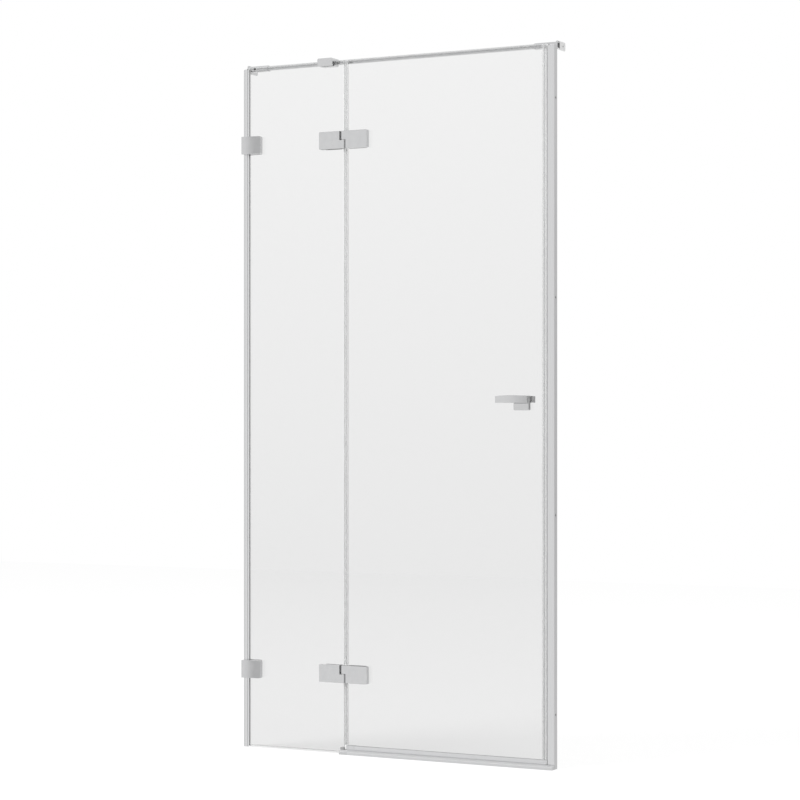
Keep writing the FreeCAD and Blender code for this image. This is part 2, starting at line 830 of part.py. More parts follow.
door_seal_face = closing_face - closing_strip_proud - magnet_gap
door_seal_bottom = rail_lift + rail_height + joint_seal_rail_gap


def door_magnet_seal():
    """The seal on the door's free edge: it grips the glass and holds a magnet."""
    out = door_seal_width / 2
    left = door_glass_right - door_seal_grip
    seal = column([
        (left, glass_back), (left, out), (door_seal_face, out), (door_seal_face, -out), (left, -out),
        (left, glass_front), (door_glass_right, glass_front), (door_glass_right, glass_back),
    ], door_seal_bottom, overall_height)
    pocket_half = door_magnet_width / 2 + magnet_clearance
    pocket_left = door_seal_face - seal_wall - door_magnet_depth - magnet_clearance
    low, high = door_seal_bottom - overrun, overall_height + overrun
    pocket = block(pocket_left, door_seal_face - seal_wall, -pocket_half, pocket_half, low, high)
    chamber = block(
        door_glass_right + seal_wall, pocket_left - seal_wall, -out + seal_wall, out - seal_wall, low, high
    )
    return seal.cut([pocket, chamber])


def door_magnet():
    """The magnet band inside the door's closing seal."""
    right = door_seal_face - seal_wall
    half = door_magnet_width / 2
    return block(right - door_magnet_depth, right, -half, half, door_seal_bottom, overall_height)


# Drip rail

rail_inside = glass_back + rail_glass_clearance
rail_outside = rail_inside + rail_wall
rail_top = rail_lift + rail_height
rail_block_left = door_glass_left + rail_block_from_edge
rail_left = rail_block_left + rail_block_length


def rail_section(skin):
    """Outline of the rail in Y and Z, with a slot for the glass above and one for the fin below."""
    out = rail_outside + skin
    top = rail_top + skin
    low = rail_lift - skin
    slot = fin_slot_width / 2
    return [
        (-out, low), (-slot, low), (-slot, rail_lift + fin_slot_depth), (slot, rail_lift + fin_slot_depth),
        (slot, low), (out, low), (out, top), (rail_inside, top), (rail_inside, door_glass_lift),
        (-rail_inside, door_glass_lift), (-rail_inside, top), (-out, top),
    ]


def drip_rail():
    """The metal rail that grips the lower edge of the door glass."""
    rail = runner(rail_section(0), rail_left, door_seal_face)
    corners = [(-rail_outside, rail_top), (-rail_outside, rail_lift), (rail_outside, rail_top),
               (rail_outside, rail_lift)]
    return bevel_corners(rail, corners, (1, 2), rail_edge_bevel)


def rail_end_block():
    """The moulded block at the hinge end of the drip rail."""
    piece = runner(rail_section(rail_block_skin), rail_block_left, rail_left)
    out = rail_outside + rail_block_skin
    low, high = rail_lift - rail_block_skin, rail_top + rail_block_skin
    corners = [(-out, high), (-out, low), (out, high), (out, low)]
    return bevel_corners(piece, corners, (1, 2), rail_edge_bevel)


def drip_fin():
    """The soft fin in the rail, which hangs just clear of the sill."""
    slot = fin_slot_width / 2 - nest_clearance / 2
    top = rail_lift + fin_slot_depth
    tip = sill_height + fin_sill_gap
    low = rail_lift - rail_block_skin
    return runner([
        (-slot, top), (slot, top), (slot, low), (fin_blade / 2, low), (fin_blade / 2, tip),
        (-fin_blade / 2, tip), (-fin_blade / 2, low), (-slot, low),
    ], rail_block_left, door_seal_face)


# Sill

sill_cap_left = fixed_glass_right - sill_cap_lap
sill_left = sill_cap_left + sill_cap_length


def sill_length(x0, x1):
    """A length of the sill's section: a low front, a slope up to the flat top, rounded edges."""
    bar = runner([
        (-sill_front, 0), (sill_back, 0), (sill_back, sill_height),
        (sill_slope_depth - sill_front, sill_height), (-sill_front, sill_front_height),
    ], x0, x1)
    corners = [(-sill_front, sill_front_height), (sill_back, sill_height)]
    return round_corners(bar, corners, (1, 2), sill_edge_radius)


def sill():
    """The low threshold on the floor under the door, which runs to the wall in front of the right channel."""
    bar = sill_length(sill_left, right_wall)
    notch = block(
        closing_face - sill_profile_gap, right_wall + overrun, -channel_width / 2 - sill_profile_gap,
        sill_back + overrun, -overrun, sill_height + overrun,
    )
    return bar.cut(notch)


def sill_end_cap():
    """The end of the sill, which laps in front of the fixed pane."""
    cap = sill_length(sill_cap_left, sill_left)
    behind = glass_front - strip_leg - sill_glass_gap
    notch = block(
        sill_cap_left - overrun, fixed_glass_right + sill_glass_gap, behind, sill_back + overrun,
        -overrun, sill_height + overrun,
    )
    return cap.cut(notch)


def corner_stop():
    """The soft wedge on the sill in front of the joint."""
    right = pivot_x + stop_past_axis
    left = right - stop_length
    back = glass_front - strip_leg - sill_glass_gap
    front = back - stop_depth
    wedge = block(left, right, front, back, sill_height, sill_height + stop_height)
    ends = [(left, sill_height + stop_height), (right, sill_height + stop_height)]
    return round_corners(wedge, ends, (0, 2), stop_edge_radius)


# Support bar at the top

bar_low = bar_height - bar_size / 2
bar_front = bar_behind_glass - bar_size / 2
sleeve_front = bar_behind_glass - sleeve_size / 2


def square_bar(size, x0, x1, bevel):
    """A square bar along X on the support bar's axis, its long edges bevelled."""
    y0, y1 = bar_behind_glass - size / 2, bar_behind_glass + size / 2
    z0, z1 = bar_height - size / 2, bar_height + size / 2
    bar = block(x0, x1, y0, y1, z0, z1)
    return bevel_corners(bar, [(y, z) for y in (y0, y1) for z in (z0, z1)], (1, 2), bevel)


def support_bar():
    """The square tube between the walls."""
    x0, x1 = left_wall + bar_end_gap, right_wall - bar_end_gap
    inside = bar_size - 2 * bar_wall
    bore = block(
        x0 - overrun, x1 + overrun, bar_behind_glass - inside / 2, bar_behind_glass + inside / 2,
        bar_height - inside / 2, bar_height + inside / 2,
    )
    return square_bar(bar_size, x0, x1, bar_corner_bevel).cut(bore)


def bar_plugs():
    """The plug in each end of the tube."""
    inside = bar_size - 2 * bar_wall - fit_clearance
    plugs = []
    for wall, way in ((left_wall, 1), (right_wall, -1)):
        end = wall + way * bar_end_gap
        rim = sorted((end - way * bar_plug_flange, end))
        stem = sorted((end, end + way * bar_plug_length))
        flange = square_bar(bar_size, rim[0], rim[1], bar_corner_bevel)
        plugs.append(flange.fuse(square_bar(inside, stem[0], stem[1], bar_corner_bevel)).removeSplitter())
    return group(plugs)


def bar_bracket(wall, way):
    """A wall plate with a sleeve for the bar, hollow behind, with a screw hole beside the sleeve."""
    face = wall + way * bracket_thickness
    tip = wall + way * sleeve_length
    low, high = bar_height - bracket_height / 2, bar_height + bracket_height / 2
    front, back = bar_behind_glass - bracket_front, bar_behind_glass + bracket_tail
    plate = block(min(wall, face), max(wall, face), front, back, low, high)
    corners = [(y, z) for y in (front, back) for z in (low, high)]
    plate = bevel_corners(plate, corners, (1, 2), bracket_corner_bevel)
    plate = bevel_face(plate, 0, face, bracket_edge_bevel)
    body = plate.fuse(square_bar(sleeve_size, min(face, tip), max(face, tip), sleeve_corner_bevel))
    half_wide, half_tall = bracket_pocket_width / 2, bracket_pocket_height / 2
    pocket_ends = sorted((wall - way * overrun, wall + way * bracket_pocket_depth))
    pocket = block(
        pocket_ends[0], pocket_ends[1], bar_behind_glass - half_wide, bar_behind_glass + half_wide,
        bar_height - half_tall, bar_height + half_tall,
    )
    bore_ends = sorted((wall - way * overrun, tip + way * overrun))
    bore = square_bar(bar_size + 2 * fit_clearance, bore_ends[0], bore_ends[1], bar_corner_bevel)
    screw_ends = sorted((wall - way * overrun, face + way * overrun))
    screw = along_x(
        bracket_screw_radius, bar_behind_glass + bracket_screw_behind_bar, bar_height,
        screw_ends[0], screw_ends[1],
    )
    tapped = stud_y(
        sleeve_screw_radius + fit_clearance, wall + way * sleeve_screw_from_wall, bar_height,
        sleeve_front - overrun, bar_behind_glass,
    )
    return body.removeSplitter().cut([pocket, bore, screw, tapped])


def bracket_grub_screws():
    """The grub screw in the front of each sleeve, which presses on the bar."""
    face = sleeve_front + sleeve_screw_recess
    screws = []
    for x in (left_wall + sleeve_screw_from_wall, right_wall - sleeve_screw_from_wall):
        start = Vector(x, face, bar_height)
        socket = hexagon(sleeve_socket_width, start, Vector(0, 1, 0), sleeve_socket_depth)
        screws.append(stud_y(sleeve_screw_radius, x, bar_height, face, bar_front).cut(socket))
    return group(screws)


saddle_right = pivot_x - saddle_from_joint
saddle_left = saddle_right - saddle_length
saddle_top = overall_height + saddle_top_rise
saddle_low = saddle_top - saddle_height
saddle_slot = glass_back + saddle_liner
saddle_grubs = [(saddle_left + saddle_right + side * saddle_grub_spread) / 2 for side in (-1, 1)]


def bar_saddle():
    """The saddle over the top edge of the fixed pane, with a square eye for the bar behind it."""
    front = -saddle_slot - saddle_lip
    back = bar_behind_glass + bar_size / 2 + fit_clearance + saddle_back_wall
    body = block(saddle_left, saddle_right, front, back, saddle_low, saddle_top)
    body = round_corners(
        body, [(x, z) for x in (saddle_left, saddle_right) for z in (saddle_low, saddle_top)], (0, 2),
        saddle_corner_radius,
    )
    body = bevel_face(body, 1, front, saddle_edge_bevel)
    slot = block(
        saddle_left - overrun, saddle_right + overrun, -saddle_slot, saddle_slot,
        saddle_low - overrun, overall_height + saddle_liner,
    )
    eye = square_bar(
        bar_size + 2 * fit_clearance, saddle_left - overrun, saddle_right + overrun, bar_corner_bevel
    )
    grubs = [
        stud_z(grub_radius + fit_clearance, x, bar_behind_glass, saddle_low - overrun, bar_height)
        for x in saddle_grubs
    ]
    return body.cut([slot, eye] + grubs)


def saddle_lining():
    """The soft lining between the saddle and the glass."""
    low = saddle_low + saddle_corner_radius
    top = overall_height + saddle_liner
    return runner([
        (-saddle_slot, low), (glass_front, low), (glass_front, overall_height), (glass_back, overall_height),
        (glass_back, low), (saddle_slot, low), (saddle_slot, top), (-saddle_slot, top),
    ], saddle_left + saddle_edge_bevel, saddle_right - saddle_edge_bevel)


def saddle_grub_screws():
    """The two grub screws that press the bar in the saddle."""
    return group([grub_screw(x, bar_behind_glass, saddle_low, bar_low) for x in saddle_grubs])


# Handle

def handle_bolt_places():
    """Places across the door of the bolts through the glass."""
    return [handle_middle + side * handle_bolt_spread / 2 for side in (-1, 1)]


def handle_block(side, low):
    """The block between the glass and a bar: side is -1 outside and 1 inside."""
    seat = side * (glass_back + pad_thickness)
    face = seat + side * handle_base_depth
    left = handle_right - handle_base_width
    high = handle_top_height - handle_bar_crown
    body = block(left, handle_right, min(seat, face), max(seat, face), low, high)
    ends = [(x, low) for x in (left, handle_right)]
    return bevel_corners(body, ends, (0, 2), handle_corner_bevel)


def handle_outer_base():
    """The square block outside, drilled from behind, with a groove under the bar."""
    back = pad_front - handle_bolt_grip - bolt_end_gap
    face = pad_front - handle_base_depth
    bar_low_edge = handle_top_height - handle_bar_height
    groove = block(
        handle_right - handle_base_width - overrun, handle_right + overrun, face - overrun,
        face + handle_groove_depth, bar_low_edge - handle_groove_height, bar_low_edge,
    )
    holes = [
        stud_y(handle_bolt_radius + fit_clearance, x, handle_bar_middle, back, pad_front + overrun)
        for x in handle_bolt_places()
    ]
    base = handle_block(-1, handle_top_height - handle_base_height)
    return base.cut(holes + [handle_screw_hole(-1), groove])


def handle_inner_spacer():
    """The spacer inside, with counterbores for the heads of the bolts."""
    face = pad_back + handle_base_depth
    holes = [
        headed(x, handle_bar_middle, face, pad_back - overrun, handle_bolt_radius + fit_clearance,
               handle_bolt_head_radius + fit_clearance, handle_bolt_head_depth)
        for x in handle_bolt_places()
    ]
    spacer = handle_block(1, handle_top_height - handle_bar_height)
    return spacer.cut(holes + [handle_screw_hole(1)])


def handle_screw_reach(side):
    """Head face and tip of the screw that holds a bar on its block."""
    seat = side * (glass_back + pad_thickness)
    return seat, seat + side * (handle_base_depth + handle_screw_grip)


def handle_screw_hole(side):
    """The counterbored hole for that screw, with room at its tip."""
    head, tip = handle_screw_reach(side)
    return headed(
        handle_middle, handle_bar_middle, head, tip + side * bolt_end_gap,
        handle_screw_radius + fit_clearance,
        handle_screw_head_radius + fit_clearance, handle_screw_head_depth,
    )


def handle_bar(side):
    """A bar with a crowned top and a bowed face: side is -1 outside and 1 inside."""
    left = handle_right - handle_bar_length
    middle = (left + handle_right) / 2
    low = handle_top_height - handle_bar_height
    shoulder = handle_top_height - handle_bar_crown
    back = side * (glass_back + pad_thickness + handle_base_depth)
    edge = back + side * (handle_bar_depth - handle_bar_bow)
    face = back + side * handle_bar_depth
    crown = Part.Arc(
        Vector(left, back, shoulder), Vector(middle, back, handle_top_height),
        Vector(handle_right, back, shoulder),
    ).toShape()
    rest = Part.makePolygon([
        Vector(handle_right, back, shoulder), Vector(handle_right, back, low), Vector(left, back, low),
        Vector(left, back, shoulder),
    ])
    bar = Part.Face(Part.Wire([crown] + rest.Edges)).extrude(Vector(0, side * handle_bar_depth, 0))
    bow = Part.Arc(
        Vector(left, edge, low), Vector(middle, face, low), Vector(handle_right, edge, low)
    ).toShape()
    plan = Part.makePolygon([
        Vector(handle_right, edge, low), Vector(handle_right, back, low), Vector(left, back, low),
        Vector(left, edge, low),
    ])
    bowed = Part.Face(Part.Wire([bow] + plan.Edges)).extrude(Vector(0, 0, handle_bar_height))
    return bar.common(bowed).cut(handle_screw_hole(side))


def handle_pads():
    """Soft pads under the block and the spacer, with collars through the glass."""
    left = handle_right - handle_base_width + handle_corner_bevel
    right = handle_right - handle_corner_bevel
    high = handle_top_height - handle_bar_crown - handle_corner_bevel
    outer_low = handle_top_height - handle_base_height + handle_corner_bevel
    inner_low = handle_top_height - handle_bar_height + handle_corner_bevel
    outer = block(left, right, pad_front, glass_front, outer_low, high)
    inner = block(left, right, glass_back, pad_back, inner_low, high)
    collars = [
        stud_y(glass_hole_radius - fit_clearance, x, handle_bar_middle, glass_front, glass_back)
        for x in handle_bolt_places()
    ]
    holes = [
        stud_y(
            handle_bolt_radius + fit_clearance, x, handle_bar_middle, pad_front - overrun, pad_back + overrun
        )
        for x in handle_bolt_places()
    ]
    return group([outer.fuse(collars).removeSplitter().cut(holes), inner.cut(holes)])


def handle_bolts():
    """The bolts from the inner spacer through the glass into the outer block."""
    face = pad_back + handle_base_depth
    return group([
        headed_screw(x, handle_bar_middle, face, pad_front - handle_bolt_grip, handle_bolt_radius,
                     handle_bolt_head_radius, handle_bolt_head_depth, bolt_socket_width, bolt_socket_depth)
        for x in handle_bolt_places()
    ])


def handle_bar_screws():
    """The screw behind each bar."""
    screws = []
    for side in (-1, 1):
        head, tip = handle_screw_reach(side)
        screws.append(headed_screw(
            handle_middle, handle_bar_middle, head, tip, handle_screw_radius, handle_screw_head_radius,
            handle_screw_head_depth, handle_socket_width, handle_socket_depth,
        ))
    return group(screws)


lower, upper = fitting_heights
nodes = {
    "left_wall_channel": wall_channel(left_wall, 1, channel_groove()),
    "left_glazing_profile": glazing_profile(),
    "left_glazing_gaskets": glazing_gaskets(),
    "left_profile_cap": left_profile_cap(),
    "right_wall_channel": wall_channel(right_wall, -1, []),
    "closing_profile": closing_profile(),
    "closing_seal": closing_strip(),
    "closing_magnet": closing_magnet(),
    "right_profile_cap": right_profile_cap(),
    "profile_lock_screws": lock_screws(),
    "fixed_glass": fixed_glass(),
    "fixed_glass_bottom_strip": bottom_strip(),
    "upper_wall_clamp_plate": wall_clamp_plate(upper),
    "lower_wall_clamp_plate": wall_clamp_plate(lower),
    "upper_wall_clamp_back": wall_clamp_back(upper),
    "lower_wall_clamp_back": wall_clamp_back(lower),
    "wall_clamp_pads": wall_clamp_pads(),
    "wall_clamp_bolts": group(clamp_bolts(clamp_bolt_x, clamp_back_face)),
    "upper_hinge_fixed_leaf": hinge_leaf(-1, upper),
    "lower_hinge_fixed_leaf": hinge_leaf(-1, lower),
    "upper_hinge_fixed_back_plate": hinge_back_plate(-1, upper),
    "lower_hinge_fixed_back_plate": hinge_back_plate(-1, lower),
    "hinge_fixed_pads": hinge_pads(-1),
    "hinge_fixed_bolts": group(clamp_bolts(pivot_x - hinge_bolt_offset, hinge_back_face)),
    "hinge_pins": hinge_pins(),
    "hinge_thrust_washers": thrust_washers(),
    "support_bar": support_bar(),
    "support_bar_plugs": bar_plugs(),
    "left_bar_bracket": bar_bracket(left_wall, 1),
    "right_bar_bracket": bar_bracket(right_wall, -1),
    "bar_bracket_grub_screws": bracket_grub_screws(),
    "bar_saddle": bar_saddle(),
    "bar_saddle_lining": saddle_lining(),
    "bar_saddle_grub_screws": saddle_grub_screws(),
    "sill": sill(),
    "sill_end_cap": sill_end_cap(),
    "sill_corner_stop": corner_stop(),
    "door_glass": door_glass(),
    "upper_hinge_door_leaf": hinge_leaf(1, upper),
    "lower_hinge_door_leaf": hinge_leaf(1, lower),
    "upper_hinge_door_back_plate": hinge_back_plate(1, upper),
    "lower_hinge_door_back_plate": hinge_back_plate(1, lower),
    "hinge_door_pads": hinge_pads(1),
    "hinge_door_bolts": group(clamp_bolts(pivot_x + hinge_bolt_offset, hinge_back_face)),
    "hinge_bushes": hinge_bushes(),
    "joint_seal": joint_seal(),
    "door_closing_seal": door_magnet_seal(),
    "door_magnet": door_magnet(),
    "drip_rail": drip_rail(),
    "drip_rail_end_block": rail_end_block(),
    "drip_fin": drip_fin(),
    "handle_outer_base": handle_outer_base(),
    "handle_outer_bar": handle_bar(-1),
    "handle_inner_spacer": handle_inner_spacer(),
    "handle_inner_bar": handle_bar(1),
    "handle_pads": handle_pads(),
    "handle_bolts": handle_bolts(),
    "handle_bar_screws": handle_bar_screws(),
}

os.makedirs("parts", exist_ok=True)
for name, shape in nodes.items():
    shape.exportStep("parts/" + name + ".step")
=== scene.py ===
import bmesh
import bpy
import json
import math
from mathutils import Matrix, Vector


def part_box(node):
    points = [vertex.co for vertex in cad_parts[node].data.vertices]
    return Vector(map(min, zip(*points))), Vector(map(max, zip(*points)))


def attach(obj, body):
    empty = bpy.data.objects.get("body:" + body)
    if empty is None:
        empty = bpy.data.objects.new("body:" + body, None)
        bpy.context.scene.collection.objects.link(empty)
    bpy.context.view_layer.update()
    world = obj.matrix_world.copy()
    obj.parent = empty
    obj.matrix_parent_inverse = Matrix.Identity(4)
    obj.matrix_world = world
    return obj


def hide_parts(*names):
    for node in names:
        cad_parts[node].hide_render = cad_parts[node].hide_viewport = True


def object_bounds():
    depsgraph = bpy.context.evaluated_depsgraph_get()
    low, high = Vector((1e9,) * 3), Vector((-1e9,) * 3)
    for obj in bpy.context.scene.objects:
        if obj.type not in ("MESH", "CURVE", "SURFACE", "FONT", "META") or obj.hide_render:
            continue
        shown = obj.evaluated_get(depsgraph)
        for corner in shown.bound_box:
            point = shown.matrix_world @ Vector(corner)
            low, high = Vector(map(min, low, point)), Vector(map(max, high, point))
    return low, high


# Looks of the glass shower door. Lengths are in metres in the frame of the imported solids:
# X from the left wall to the right wall, -Y towards the bathroom, +Z up, the floor at zero.

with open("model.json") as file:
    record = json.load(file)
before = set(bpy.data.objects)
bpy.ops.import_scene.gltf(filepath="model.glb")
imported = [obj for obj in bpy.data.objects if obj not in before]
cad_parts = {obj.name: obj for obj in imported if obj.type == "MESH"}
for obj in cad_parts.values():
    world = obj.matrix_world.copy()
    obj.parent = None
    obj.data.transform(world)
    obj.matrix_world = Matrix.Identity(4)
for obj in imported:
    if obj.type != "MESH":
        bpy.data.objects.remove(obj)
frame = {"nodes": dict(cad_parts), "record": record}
nodes = frame["nodes"]
cad_low, cad_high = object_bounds()

mm = 0.001
subparts = frame["record"]["subparts"]
behaviour = frame["record"]["behaviour"]
body_of = {node: body for body, names in behaviour["bodies"].items() for node in names}
hinge_place = Vector(behaviour["joints"][0]["pos_m"])
levels = ("upper_", "lower_")  # the hinges and the wall clamps come in pairs
leftwards = -1  # ways along X
rightwards = 1
depth_axis = 1
upright_axis = 2

# Mesh work
weld = 0.01 * mm
flat_angle = math.radians(0.5)
sharp_angle = math.radians(25)
smooth_angle = math.radians(50)
edge_steps = 3
round_cuts = 3  # points added on each flat of a hole or bulb that is round on the real piece
round_match = 0.02 * mm

# Width of the rounded edges. Zero leaves a piece's edges as they are.
pair_rounds = {
    "wall_clamp_plate": 1.4 * mm,
    "wall_clamp_back": 0.5 * mm,
    "hinge_fixed_leaf": 0.35 * mm,
    "hinge_door_leaf": 0.35 * mm,
    "hinge_fixed_back_plate": 0.3 * mm,
    "hinge_door_back_plate": 0.3 * mm,
}
single_rounds = {
    "left_bar_bracket": 0.35 * mm,
    "right_bar_bracket": 0.35 * mm,
    "support_bar": 0.3 * mm,
    "bar_saddle": 0.4 * mm,
    "handle_outer_base": 0.7 * mm,
    "handle_outer_bar": 1.2 * mm,
    "handle_inner_spacer": 0.7 * mm,
    "handle_inner_bar": 1.2 * mm,
    "left_profile_cap": 0.25 * mm,
    "right_profile_cap": 0.25 * mm,
    "sill": 0.3 * mm,
    "sill_end_cap": 0.4 * mm,
    "sill_corner_stop": 0.8 * mm,
    "drip_rail": 0.2 * mm,
    "drip_rail_end_block": 0.35 * mm,
    "drip_fin": 0.25 * mm,
    "joint_seal": 0,  # soft and thin: only its bulb is made round
    "door_closing_seal": 0.35 * mm,
    "closing_seal": 0.35 * mm,
    "fixed_glass_bottom_strip": 0.3 * mm,
    "left_glazing_gaskets": 0.25 * mm,
    "left_wall_channel": 0.25 * mm,
    "right_wall_channel": 0.25 * mm,
    "left_glazing_profile": 0.25 * mm,
    "closing_profile": 0.3 * mm,
    "bar_saddle_lining": 0.2 * mm,
    "fixed_glass": 0,  # the panes are ground flat at their edges
    "door_glass": 0,
}
edge_rounds = {level + name: width for name, width in pair_rounds.items() for level in levels}
edge_rounds.update(single_rounds)

# Details of single pieces
bolt_hole_reaches = (5.75 * mm, 3.15 * mm)  # around the head and around the shank
sleeve_hole_reaches = (3.75 * mm,)
bulb_reaches = (3.75 * mm, 2.95 * mm)  # outside and inside of the joint seal's bulb
seal_leg_from = 3.9 * mm
seal_nose_round = 1.6 * mm
seal_nose_depth = 1.9 * mm
channel_mouth_round = 1.2 * mm
nested_grow_share = 1.03  # of its depth: closes the gap between a nested profile and its channel
rail_lip_drop = 1.2 * mm
block_lip_drop = 0.7 * mm
lip_reach = 1.0 * mm
glazing_leg_recess = 2.7 * mm
glazing_wedge_recess = 2.5 * mm
split_reach = 11.5 * mm
split_slant_share = 0.7  # faces turned further from the front than this lie in the split
wall_facing_share = 0.7  # faces turned to the wall by more than this lie on it

# Screws: head and shank radius, head depth, socket width and depth, from the sizes of the solids
screw_sides = 24
screw_rim = 0.5 * mm
rim_bow_share = 0.25  # how far in the round of a head's rim lies at its middle
screw_tip = 0.6 * mm
hexagon_side = math.pi / 3  # the angle that one side of a socket takes
glass_bolt = (5.6 * mm, 3.0 * mm, 2.8 * mm, 4.0 * mm, 2.0 * mm)
lock_screw = (3.2 * mm, 1.75 * mm, 1.2 * mm, 2.0 * mm, 0.8 * mm)
handle_bolt = (4.5 * mm, 2.5 * mm, 4.6 * mm, 4.0 * mm, 2.0 * mm)
sleeve_screw = (3.6 * mm, 3.6 * mm, 0.9 * mm, 3.0 * mm, 0.9 * mm)
saddle_screw = (2.0 * mm, 2.0 * mm, 1.5 * mm, 2.0 * mm, 1.0 * mm)
to_shower = (0, 1, 0)
to_bathroom = (0, -1, 0)
to_floor = (0, 0, -1)
screw_groups = {
    "wall_clamp_bolts": (glass_bolt, to_shower),
    "hinge_fixed_bolts": (glass_bolt, to_shower),
    "hinge_door_bolts": (glass_bolt, to_shower),
    "profile_lock_screws": (lock_screw, to_shower),
    "handle_bolts": (handle_bolt, to_shower),
    "bar_bracket_grub_screws": (sleeve_screw, to_bathroom),
    "bar_saddle_grub_screws": (saddle_screw, to_floor),
}

# Grain of the finishes: its stretch along X, Y and Z, the noise values in use and the depth of a relief
even = (1, 1, 1)
drawn_upright = (1, 1, 0.004)
drawn_across = (0.004, 1, 1)
rolled_upright = (1, 1, 0.02)
ground_upright = (1, 1, 0.05)
streaked_upright = (1, 1, 0.2)
turned = (1, 0.1, 1)
noise_span = (0.3, 0.7)
fine_relief = 0.04 * mm
moulded_relief = 0.05 * mm
wave_relief = 0.2 * mm

# Glass and seals
glass_bend = 1.5  # refractive index
# The pane's own trace of grey, with painted shade that darkens it towards the floor
glass_tints_and_painted_shade = ((0.776, 0.776, 0.776), (0.880, 0.880, 0.880))  # at the floor and at the top
seal_cover_share = 0.25  # how much the clear seals hide of what lies behind them
seal_leg_cover_share = 0.15  # and the joint seal's back leg, the strip and the lower edges of the panes
edge_cover_share = 0.6  # how much the ground edges of the panes hide
pane_foot_share = 0.5  # faces that look down more than this lie in the strip or the rail
pane_slant_share = 0.9  # faces turned further from the front than this are ground
glass_air_share = 0.99  # of its thickness: leaves the pane a hair clear of what grips it

# Camera, fitted to the photograph's vanishing lines
camera_place = (3.122, -5.896, 0.960)
camera_turn = math.radians(27.8)
camera_lens = 105.2  # for the default 36 mm sensor
camera_rise_share = 0.026  # image shift that puts the horizon below the middle
camera_side_share = 0.0007
camera_reach = 100.0

# Studio
white = (1, 1, 1, 1)
light_level = 0.62  # world light on the object
floor_size = 14.0
floor_drop = 0.0005
floor_tone = 0.22
floor_glow = 0.835  # what the floor shows by itself where the light on it leaves it short of white
room_dim = ((0.35, -0.94, 0), (0.66, 0.86), 0.69)  # darker surround in front: direction, cosines, level
flag_dim = ((0.36, 0.933, 0), (0.9934, 0.9978), 0.42)  # a narrow dark flag behind to the right
lamp_aim = (0, 0, 1.0)
key_place = (-3.6, -4.6, 4.2)
key_size = 3.4
key_power = 380.0
fill_place = (4.4, -3.0, 3.2)
fill_size = 3.0
fill_power = 110.0


# Shader building blocks. The owner is the material or the world whose nodes they are.

def new_material(name):
    """A material with one Principled shader; returns the material and its shader."""
    material = bpy.data.materials.new(name)
    material.use_nodes = True
    return material, material.node_tree.nodes["Principled BSDF"]


def add_node(owner, kind, **settings):
    """Adds a shader node and sets its properties."""
    node = owner.node_tree.nodes.new(kind)
    for name, value in settings.items():
        setattr(node, name, value)
    return node


def join(owner, source, target):
    """Links an output socket to an input socket."""
    owner.node_tree.links.new(source, target)


def combine(owner, operation, first, second):
    """The result of a Math node on two values, each a socket or a plain number."""
    node = add_node(owner, "ShaderNodeMath", operation=operation)
    for socket, value in zip(node.inputs, (first, second)):
        if isinstance(value, bpy.types.NodeSocket):
            join(owner, value, socket)
        else:
            socket.default_value = value
    return node.outputs[0]


def rescale(owner, source, old_span, new_span, **settings):
    """A socket's values, brought from one span to another."""
    node = add_node(owner, "ShaderNodeMapRange", **settings)
    for name, value in zip(("From Min", "From Max", "To Min", "To Max"), (*old_span, *new_span)):
        node.inputs[name].default_value = value
    join(owner, source, node.inputs["Value"])
    return node.outputs["Result"]


def grain(material, scale, stretch, detail):
    """Noise on the piece's own coordinates, stretched along its axes."""
    place = add_node(material, "ShaderNodeTexCoord")
    mapping = add_node(material, "ShaderNodeMapping")
    mapping.inputs["Scale"].default_value = stretch
    noise = add_node(material, "ShaderNodeTexNoise")
    noise.inputs["Scale"].default_value = scale
    noise.inputs["Detail"].default_value = detail
    join(material, place.outputs["Object"], mapping.inputs["Vector"])
    join(material, mapping.outputs["Vector"], noise.inputs["Vector"])
    return noise.outputs["Fac"]


def tint(material, shader, source, tones, span=noise_span):
    """Colours the shader from the first tone to the second over a span of a socket's values."""
    ramp = add_node(material, "ShaderNodeValToRGB")
    for element, place, tone in zip(ramp.color_ramp.elements, span, tones):
        element.position = place
        element.color = (*tone, 1)
    join(material, source, ramp.inputs["Fac"])
    join(material, ramp.outputs["Color"], shader.inputs["Base Color"])


def dull(material, shader, source, roughness):
    """Spreads the shader's roughness between two values by a noise."""
    join(material, rescale(material, source, noise_span, roughness), shader.inputs["Roughness"])


def relief(material, shader, source, depth, strength):
    """Gives the surface a fine relief from a noise."""
    bump = add_node(material, "ShaderNodeBump")
    bump.inputs["Distance"].default_value = depth
    bump.inputs["Strength"].default_value = strength
    join(material, source, bump.inputs["Height"])
    join(material, bump.outputs["Normal"], shader.inputs["Normal"])


def grained(name, noise, tones, roughness, bump=None, metal_share=0, cover_share=1):
    """A finish whose colour, roughness and relief follow one noise of a scale, a stretch and a detail."""
    material, shader = new_material(name)
    shader.inputs["Metallic"].default_value = metal_share
    shader.inputs["Alpha"].default_value = cover_share
    pattern = grain(material, *noise)
    tint(material, shader, pattern, tones)
    dull(material, shader, pattern, roughness)
    if bump:
        relief(material, shader, pattern, *bump)
    return material


def clouded(name, cloud, tones, fine, roughness, bump):
    """A finish with its colour from a broad noise, and its roughness and relief from a fine one."""
    material, shader = new_material(name)
    tint(material, shader, grain(material, *cloud), tones)
    pattern = grain(material, *fine)
    dull(material, shader, pattern, roughness)
    relief(material, shader, pattern, *bump)
    return material


# Finishes

def polished_chrome():
    """Chrome plate with a faint haze and the slight waviness of a polished casting."""
    material, shader = new_material("polished_chrome")
    shader.inputs["Metallic"].default_value = 1
    haze = grain(material, scale=60, stretch=even, detail=4)
    tint(material, shader, haze, tones=((0.585, 0.588, 0.595), (0.625, 0.627, 0.632)))
    dull(material, shader, haze, roughness=(0.10, 0.17))
    waves = grain(material, scale=18, stretch=even, detail=1)
    relief(material, shader, waves, wave_relief, strength=0.05)
    return material


